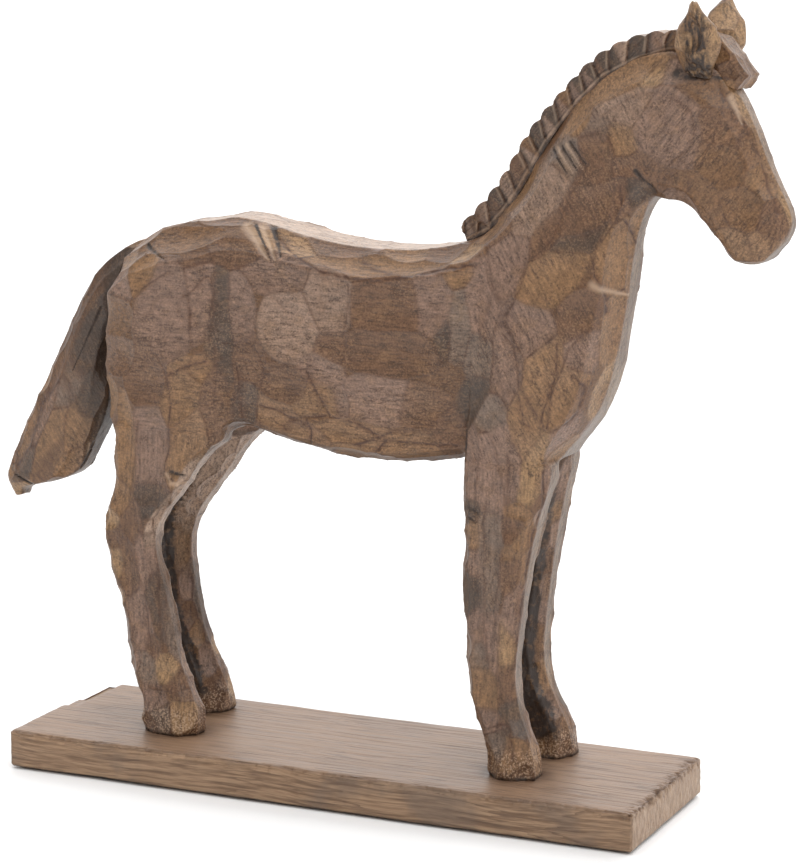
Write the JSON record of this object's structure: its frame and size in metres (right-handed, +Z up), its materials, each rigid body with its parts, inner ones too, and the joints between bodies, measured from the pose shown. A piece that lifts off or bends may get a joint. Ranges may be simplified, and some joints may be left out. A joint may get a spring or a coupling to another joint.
{
  "type": "carved wooden foal figurine",
  "caption": "Carved wooden foal standing on a plain rectangular board, with gouge-cut facets, a notched mane strip, upright ears and a hanging tail.",
  "frame": {"origin": "centre of the felt sheet's underside, which is the face that the figurine stands on", "axes": "+Z up, +X towards the foal's head along the board's length, -Y on the foal's right-hand side"},
  "size_m": [0.3741, 0.09, 0.3494],
  "materials": {
    "carved_wood": "stained brown, satin wax, gouge-cut facets",
    "mane_wood": "stained grey-brown, satin wax",
    "board_wood": "stained warm brown, worn edges",
    "dowel_wood": "bare beech",
    "zinc_steel": "bright zinc",
    "felt": "pressed felt"
  },
  "bodies": {
    "root": {"base_board": "board_wood", "felt_sheet": "felt", "trunk": "carved_wood", "neck": "carved_wood", "head": "carved_wood", "tail": "carved_wood", "mane": "mane_wood", "forelock": "mane_wood", "ear_right": "carved_wood", "ear_left": "carved_wood", "hindleg_right": "carved_wood", "hindleg_left": "carved_wood", "foreleg_right": "carved_wood", "foreleg_left": "carved_wood", "base_screws": "zinc_steel", "hip_dowels": "dowel_wood", "elbow_dowels": "dowel_wood", "shoulder_dowels": "dowel_wood", "poll_dowels": "dowel_wood", "tail_dowel": "dowel_wood", "ear_pins": "dowel_wood", "mane_pins": "dowel_wood"}
  },
  "joints": []
}
